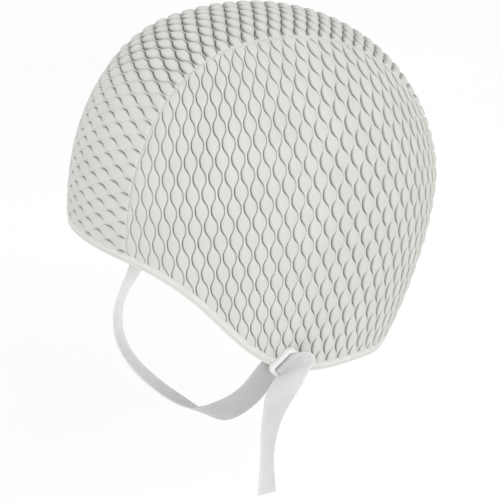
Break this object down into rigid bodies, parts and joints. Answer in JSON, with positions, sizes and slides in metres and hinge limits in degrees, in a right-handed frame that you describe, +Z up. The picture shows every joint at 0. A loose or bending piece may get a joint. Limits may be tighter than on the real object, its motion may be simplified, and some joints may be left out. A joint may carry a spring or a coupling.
{
  "type": "highlighting cap",
  "caption": "Close-fitting bubble-textured rubber hair cap with a centre strip, side panels, a smooth hem and a chin strap through a keeper.",
  "frame": {"origin": "middle of the wearer's head on the level where the cap is widest, inside the cap", "axes": "+Z up, the wearer faces -Y, +X to the wearer's left, where the keeper is; the cap is tipped 8.5 degrees forward about X, as worn"},
  "size_m": [0.1655, 0.2096, 0.2317],
  "materials": {
    "bubble_rubber": "satin translucent-white latex with raised bubbles",
    "hem_rubber": "smooth satin latex band with a rolled bead",
    "tape_rubber": "matt latex tape",
    "keeper_plastic": "white moulded soft plastic",
    "strap_rubber": "smooth satin white rubber strap"
  },
  "bodies": {
    "cap": {"centre_panel": "bubble_rubber", "left_side_panel": "bubble_rubber", "right_side_panel": "bubble_rubber", "hem_binding": "hem_rubber", "left_seam_tape": "tape_rubber", "right_seam_tape": "tape_rubber", "left_lobe_patch": "tape_rubber", "right_lobe_patch": "tape_rubber", "strap_keeper": "keeper_plastic", "strap_fixed_end": "strap_rubber", "strap_in_keeper": "strap_rubber"},
    "chin_strap": {"chin_strap": "strap_rubber"},
    "strap_tail": {"strap_tail": "strap_rubber"}
  },
  "joints": [
    {"name": "chin_strap_swing", "type": "hinge", "parent": "cap", "child": "chin_strap", "pos_m": [0, -0.017, -0.057], "axis": [-1, 0, 0], "range_deg": [-30, 60], "stiffness_Nm_per_rad": 0.03},
    {"name": "tail_swing", "type": "hinge", "parent": "cap", "child": "strap_tail", "pos_m": [0.0822, -0.01, -0.051], "axis": [-0.3129, -0.8968, -0.3129], "range_deg": [-8, 60], "stiffness_Nm_per_rad": 0.01}
  ]
}
